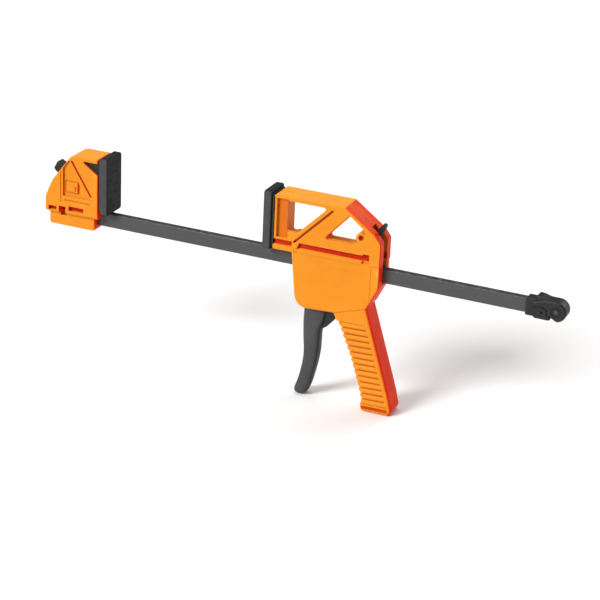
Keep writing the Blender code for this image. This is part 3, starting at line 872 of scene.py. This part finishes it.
def detail(made):
    """Grooves and recesses on both faces, each an outline with its floor's distance from the middle."""
    brace = BRACE_RUN.normalized()
    across = Vector((brace.y, -brace.x))
    foot = BRACE_FOOT - brace * 7.6
    groove = strip_beside(foot, brace, across, 3.0, 4.9, 47.0, 0.7)
    dip = strip_beside(foot + brace * 1.0, brace, across, 4.4, 10.6, 42.5, 1.0)
    post_left = HEAD_FRONT + 2.6
    post = filleted([(post_left, 19.2, 0.6), (post_left, 52.6, 0.6), (164, 52.6, 0), (164, 19.2, 0)], 4)
    strip = [(HEAD_FRONT - 3, 13.5, 0), (HEAD_FRONT - 3, 53.6, 0)]
    strip += [(HEAD_FRONT + 1.0, 53.6, 0.4), (HEAD_FRONT + 1.0, 13.5, 0.4)]
    pocket = rectangle(228.8, 11.4, 234.8, 19.0, 1, 4)
    rear_line = rectangle(236.2, -27.0, 237.1, 8.4, 0.5, 4)
    top_line = rectangle(171.0, 8.4, 236.9, 9.2, 0.4, 4)
    middle_line = rectangle(182.0, 1.4, 236.4, 2.0, 0.3, 4)
    band = [(along(FRONT_EDGE, BAND_TOP) - 6, BAND_TOP)] + [(x - 6, z) for x, z in FRONT_EDGE[2:4]]
    band += [(along(FRONT_EDGE, BAND_BOTTOM) - 6, BAND_BOTTOM)]
    band += [(along(REAR_EDGE, BAND_BOTTOM) - 4.4, BAND_BOTTOM + 0.8)]
    band += [(along(REAR_EDGE, -100.4) - 4.4, -100.4), (along(REAR_EDGE, -42.6) - 4.6, BAND_TOP + 0.8)]
    lip = [(222, -113.6), (along(REAR_EDGE, -113.6) - 3.4, -113.0)]
    lip += [(along(REAR_EDGE, -116.6) - 3.2, -116.4), (222, -117.0)]
    for side in (-1, 1):
        for outline, floor in (
            (dip, HEAD_HALF - 0.7),
            (groove, HEAD_HALF - 2.4),
            (post, HEAD_HALF - 2.6),
            (filleted(strip, 4), HEAD_HALF - 3.4),
            (pocket, CAVITY_HALF + 0.3),
            (rear_line, BLOCK_HALF - 0.3),
            (top_line, BLOCK_HALF - 0.3),
            (middle_line, BLOCK_HALF - 0.2),
            (band, GRIP_HALF - 1.9),
            (lip, GRIP_HALF - 1.7),
        ):
            cut(made, plate("recess", outline, *span(side, floor)))
        for depth, floor in ((2.2, 5.0), (2.9, 6.2), (3.8, 7.2), (4.9, 7.9)):
            cut(made, plate("corner", front_strip(depth), *span(side, floor)))
    cut(made, plate("front", front_strip(1.9), -OUTSIDE, OUTSIDE))
    return made


def hollow(made):
    """The inside, and every way into it."""
    cavity = [(170.8, 18.0), (171.8, -6), (174, -22), (178, -34.5), (207, -34.5), (211.8, -45), (224, -73)]
    cavity += [(233.6, -102), (237, -115), (256.5, -115), (254.2, -101), (231.2, -28.5)]
    cavity += [(235.6, -19), (240.9, -8.5), (240.9, 19.5), (226.8, 19.5), (225.6, 18.0)]
    cut(made, plate("cavity", cavity, -CAVITY_HALF, CAVITY_HALF))
    for opening in windows(DEEP_LEFT, DEEP_SILL):
        cut(made, plate("behind_window", opening, WINDOW_PLATE - HEAD_HALF, OUTSIDE))
    low, high = (HEAD_FRONT - 5, -BAR_ROOM_HALF, -6.3), (BODY_REAR + 5, BAR_ROOM_HALF, 6.3)
    cut(made, box("bar_space", low, high))
    slot = [(231.4, -7.6), (260, -7.6), (260, 50), (234, 50), (231.4, 33)]
    cut(made, plate("rear_slot", slot, -4, 4))
    cut(made, trigger_space())
    return made


def trigger_space():
    """The opening under the block that the trigger swings in."""
    outline = [(174.6, -30), (174.6, -45), (205, -45), (205, -58), (221, -58), (221, -30)]
    return plate("trigger_opening", outline, -6.6, 6.6)


def front_strip(depth):
    """The part of the grip's band that lies within a depth of its front edge."""
    heights = [BAND_TOP] + [z for x, z in FRONT_EDGE[2:4]] + [BAND_BOTTOM]
    inner = [(along(FRONT_EDGE, z) + depth, z) for z in heights]
    return inner + [(x - depth - 6, z) for x, z in reversed(inner)]


def grip_ribs():
    """Broad rounded ribs across both faces of the grip and round its front, each with its side."""
    ribs = []
    middle = GRIP_HALF - RIB_RADIUS - 0.04
    bend = [math.radians(a) for a in (0, 18, 36, 54, 72, 90)]
    for index in range(RIB_COUNT):
        z = RIB_TOP - RIB_PITCH * index
        front = along(FRONT_EDGE, z) + RIB_RADIUS
        rear = along(REAR_EDGE, z) - 4.9
        turns = [(front + 3.0 * (1 - math.sin(t)), middle - 3.0 * (1 - math.cos(t))) for t in bend]
        for side in (-1, 1):
            route = [(rear + 1.6, middle), (rear - 3.0, middle)] + turns + [(front, 0)]
            path = [(x, side * y, z + RIB_TILT * (x - front)) for x, y in route]
            ribs.append((side, tube("rib", path, RIB_RADIUS, 24)))
    return ribs


def shells():
    """The near and far halves, parted along the bar's middle plane."""
    body = hollow(detail(full_body()))
    tongue = hollow(full_body(tongue=True))
    ribs = grip_ribs()
    for side, name, node in ((-1, "near_half", "near_shell"), (1, "far_half", "far_shell")):
        half = copy_of(body, name)
        start, end = sorted((-side * 20, side * SEAM))
        beyond = (100, start, -150), (300, end, 100)
        cut(half, box("other_half", *beyond))
        join(half, rod("corner_boss", (226.6, 31.2), 4.6, *span(side, SEAM, HEAD_HALF - 0.5), 0.6))
        if side < 0:
            cut(half, rod("boss_hole", (226.9, 31.8), 2.5, -13, -HEAD_HALF + 3.8))
        else:
            for place in SCREWS:
                cut(half, rod("recess", place, 3.1, 6.7, 20), rod("clearance", place, 1.8, -1, 20))
        own = [rib for rib_side, rib in ribs if rib_side == side]
        bead = gather(own[0], *own[1:])
        cut(bead, trigger_space(), box("other_half", *beyond))
        gather(half, bead, *([tongue] if side < 0 else []))
        finish(half, ORANGE, "sliding_jaw", [node])
    bpy.data.objects.remove(body)
    for number, place in enumerate(SCREWS, 1):
        screw(number, place)


def screw(number, place):
    """A pan-head screw with a cross recess, turned a little further than the last one."""
    head_top = 9.15
    made = rod(f"screw_{number}", place, 2.75, 7.0, head_top, 0.6, 28)
    join(made, rod("shank", place, 1.5, -7.8, 7.4, 0.2, 14))
    for angle in (0, 90):
        cross = box("cross", (-1.6, -1.0, -0.35), (1.6, 1.0, 0.35))
        cross.data.transform(Matrix.Rotation(math.radians(angle + 20 * number), 4, "Y"))
        cross.data.transform(Matrix.Translation((place[0], head_top, place[1])))
        cut(made, cross)
    finish(made, ZINC, "sliding_jaw", [f"shell_screw_{number}"])


# Trigger, release tab and the inner parts

TRIGGER_FRONT = [(180.6, -20), (178.2, -34), (177.5, -44), (177.4, -53), (177.9, -65), (178.8, -76)]
TRIGGER_FRONT += [(178.9, -82), (178.1, -90), (176.6, -98), (174.9, -105), (172.9, -111)]
TRIGGER_FRONT += [(171.6, -115), (171.6, -118.4)]
TRIGGER_REAR = [(195.5, -20), (197.2, -34), (197.3, -43), (195.6, -50), (193.4, -56), (192.5, -62)]
TRIGGER_REAR += [(192.4, -70), (192.3, -77), (191.0, -87), (188.9, -97), (186.4, -107)]
TRIGGER_REAR += [(184.4, -113), (182.6, -118.4)]


def trigger():
    """The lever as a skin over rounded sections, with two cheeks round the bar and a web behind."""
    rings = []
    shrink = {-114.5: 0.97, -116.0: 0.9, -117.2: 0.76, -118.0: 0.55, -118.35: 0.3}
    for z in [-22 - 3.0 * i for i in range(31)] + list(shrink):
        front, rear = along(TRIGGER_FRONT, z), along(TRIGGER_REAR, z)
        scale = shrink.get(z, 1.0)
        middle = (front + rear) / 2
        deep, wide = (rear - front) / 2 * scale, 6.0 * (0.35 + 0.65 * scale)
        ring = []
        for k in range(40):
            angle = 2 * math.pi * k / 40
            c, s = math.cos(angle), math.sin(angle)
            power = 0.5 if c < 0 else 0.62
            x = math.copysign(abs(c) ** power, c) * deep
            y = math.copysign(abs(s) ** 0.56, s) * wide
            ring.append((middle + x, y, z))
        rings.append(ring)
    made = skin("trigger_lever", rings)
    heel = filleted([(188, -30, 1), (203.0, -33.5, 3), (204.6, -46.5, 4), (197.5, -54.5, 3), (188, -60, 1)])
    web = plate("heel", heel, -3, 3, 0.7)
    cheek = [(184.2, 15.6, 3), (191.8, 15.6, 3), (196.6, 1, 3.5), (195.5, -4.5, 3)]
    cheek = filleted(cheek + [(190.5, -24, 1), (182.0, -24, 1)])
    near_cheek = plate("near_cheek", cheek, -5.9, -3.5, 0.4)
    far_cheek = plate("far_cheek", cheek, 3.5, 5.9, 0.4)
    for part in (near_cheek, far_cheek):
        cut(part, rod("bore", TRIGGER_PIVOT, 2.8, -20, 20))
    gather(made, near_cheek, far_cheek)
    finish(made, GREY, "trigger_lever", ["trigger"], 50)
    finish(web, BLACK, "trigger_lever", [])


def trigger_pin():
    pin = rod("trigger_pivot_pin", TRIGGER_PIVOT, 2.5, -8.6, 8.6, 0.4)
    finish(pin, ZINC, "sliding_jaw", ["trigger_pin"])


def release_tab():
    """A ridged thumb tab with a socket for the brake plate's tongue, drawn from its pivot."""
    outline = filleted(
        [
            (0, 8.4, 0.4),
            (0, 17, 2),
            (1.4, 20.5, 3),
            (5.2, 26.8, 0.9),
            (7.9, 26.6, 1.1),
            (6.3, 18.5, 3),
            (4.9, 13, 2),
            (4.9, 8.4, 0.4),
        ],
        4,
    )
    made = plate("release_thumb_tab", outline, -3.4, 3.4, 0.35)
    ridges = []
    for step in range(4):
        x, z = 7.75 - 0.42 * step, 25.2 - 1.75 * step
        ridges.append(tube("ridge", [(x, -2.6, z), (x, 0, z), (x, 2.6, z)], 0.42, 10))
    gather(made, *ridges)
    cut(made, box("socket", (0.9, -2.3, 5), (3.3, 2.3, 15.3)))
    made.data.transform(Matrix.Translation((RELEASE_PIVOT[0], 0, RELEASE_PIVOT[1])))
    turn(made, RELEASE_PIVOT, 8)
    finish(made, BLACK, "release_lever", ["release_tab"])


def coil(name, start, end, radius, wire, turns, body, node, joint, travel, steps=44):
    """A compression spring with closed ends, wound from its start to its end."""
    start, end = Vector((start[0], 0, start[1])), Vector((end[0], 0, end[1]))
    ahead = (end - start).normalized()
    side = Vector((0, 1, 0))
    up = ahead.cross(side)
    first, last = start + ahead * wire * 2.4, end - ahead * wire * 2.4
    rings = []
    total = round((turns + 1.5) * steps)
    dead = 0.75 * steps
    for i in range(total + 1):
        angle = 2 * math.pi * i / steps
        outward = side * math.cos(angle) + up * math.sin(angle)
        lift = first.lerp(last, min(1.0, max(0.0, (i - dead) / (total - 2 * dead))))
        if i < dead:
            lift = lift + ahead * wire * 1.4 * (i / dead - 1)
        if i > total - dead:
            lift = lift + ahead * wire * 1.4 * (i - (total - dead)) / dead
        centre = lift + outward * radius
        around = [2 * math.pi * k / 10 for k in range(10)]
        rings.append([centre + (outward * math.cos(t) + ahead * math.sin(t)) * wire for t in around])
    made = skin(name, rings)
    finish(made, SPRING, body, [node], 60)
    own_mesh(made)


def springs():
    """Each spring between its CAD ends: radius, wire radius, turns, body, node, joint and travel; the joint
    and travel are not used.
    """
    low, high = millimetres("drive_spring")
    ends = (low.x, 0), (high.x, 0)
    coil("drive_coil", *ends, 7.4, 0.5, 4.5, "sliding_jaw", "drive_spring", "drive_plate_slide", 3.6)
    low, high = millimetres("brake_spring")
    ends = (low.x, 0), (high.x, 0)
    coil("brake_coil", *ends, 7.4, 0.45, 2.2, "sliding_jaw", "brake_spring", "release_press", 2.37)
    low, high = millimetres("jaw_latch_spring")
    x = (low.x + high.x) / 2
    ends = (x, low.z), (x, high.z)
    holder = "bar_and_fixed_jaw"
    coil("latch_coil", *ends, 1.95, 0.35, 4, holder, "jaw_latch_spring", "jaw_latch_press", 1.39)


def kept_parts():
    """CAD nodes whose shape is already right get their plated finish."""
    for node in ("brake_plate", "drive_plate_front", "drive_plate_rear", "jaw_latch_pin"):
        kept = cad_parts[node]
        kept.data.materials.clear()
        kept.data.materials.append(ZINC)


# Floor, light and camera


def floor():
    """A pale floor just under the grip's end."""
    half, gap = 6.0, 0.0002
    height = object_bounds()[0].z - gap
    shape = bmesh.new()
    corners = [(-half, -half), (half, -half), (half, half), (-half, half)]
    shape.faces.new([shape.verts.new((x, y, height)) for x, y in corners])
    made = to_object("floor", shape)
    paint = Paint("floor", 0.6)
    greys = [(0.3, (0.83, 0.83, 0.83)), (0.7, (0.86, 0.86, 0.86))]
    paint.colour(paint.ramp(paint.noise(3, 4), greys))
    paint.bump(paint.noise(400, 2), 0.0001, 0.1)
    made.data.materials.append(paint.material)
    made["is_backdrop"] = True


def lamp(name, direction, strength, spread, colour=(1, 1, 1)):
    """A broad, distant light shining from one direction, soft by its spread in degrees."""
    light = bpy.data.lights.new(name, "SUN")
    light.energy = strength
    light.angle = math.radians(spread)
    light.color = colour
    holder = bpy.data.objects.new(name, light)
    holder.rotation_euler = Vector(direction).to_track_quat("Z", "Y").to_euler()
    bpy.context.scene.collection.objects.link(holder)


def studio():
    lamp("key", (-1.05, -1.6, 1.3), 3.75, 24)
    lamp("top", (-0.35, 0.4, 1.7), 1.4, 60)
    lamp("back", (0.7, 1.5, 0.7), 0.9, 40)
    lamp("fill", (1.6, -0.35, 0.35), 0.35, 50, (1.0, 0.35, 0.2))
    world = bpy.data.worlds.new("studio")
    world.use_nodes = True
    background = world.node_tree.nodes["Background"]
    background.inputs["Color"].default_value = (1, 1, 1, 1)
    background.inputs["Strength"].default_value = 0.16
    scene = bpy.context.scene
    scene.world = world
    scene.view_settings.view_transform = "Standard"


def camera():
    """A long lens from the front right and above, rolled a little, with the clamp filling the frame."""
    around, above, distance = math.radians(22.5), math.radians(23.0), 1.62
    middle = (cad_box[0] + cad_box[1]) / 2 + Vector((0.004, 0, -0.006))
    level = math.cos(above)
    towards = Vector((math.sin(around) * level, -math.cos(around) * level, math.sin(above)))
    data = bpy.data.cameras.new("camera")
    data.lens = 119
    data.clip_end = 20
    holder = bpy.data.objects.new("camera", data)
    aim = towards.to_track_quat("Z", "Y").to_matrix().to_4x4()
    roll = Matrix.Rotation(math.radians(2.7), 4, "Z")
    holder.matrix_world = Matrix.Translation(middle + towards * distance) @ aim @ roll
    bpy.context.scene.collection.objects.link(holder)
    bpy.context.scene.camera = holder


bar()
end_stop()
fixed_jaw()
latch()
pad("fixed_pad", FIXED_PAD[1].x, 1, "fixed_jaw_pad", "bar_and_fixed_jaw")
pad("moving_pad", MOVING_PAD[0].x, -1, "moving_jaw_pad", "sliding_jaw")
shells()
trigger()
trigger_pin()
release_tab()
springs()
kept_parts()
floor()
studio()
camera()
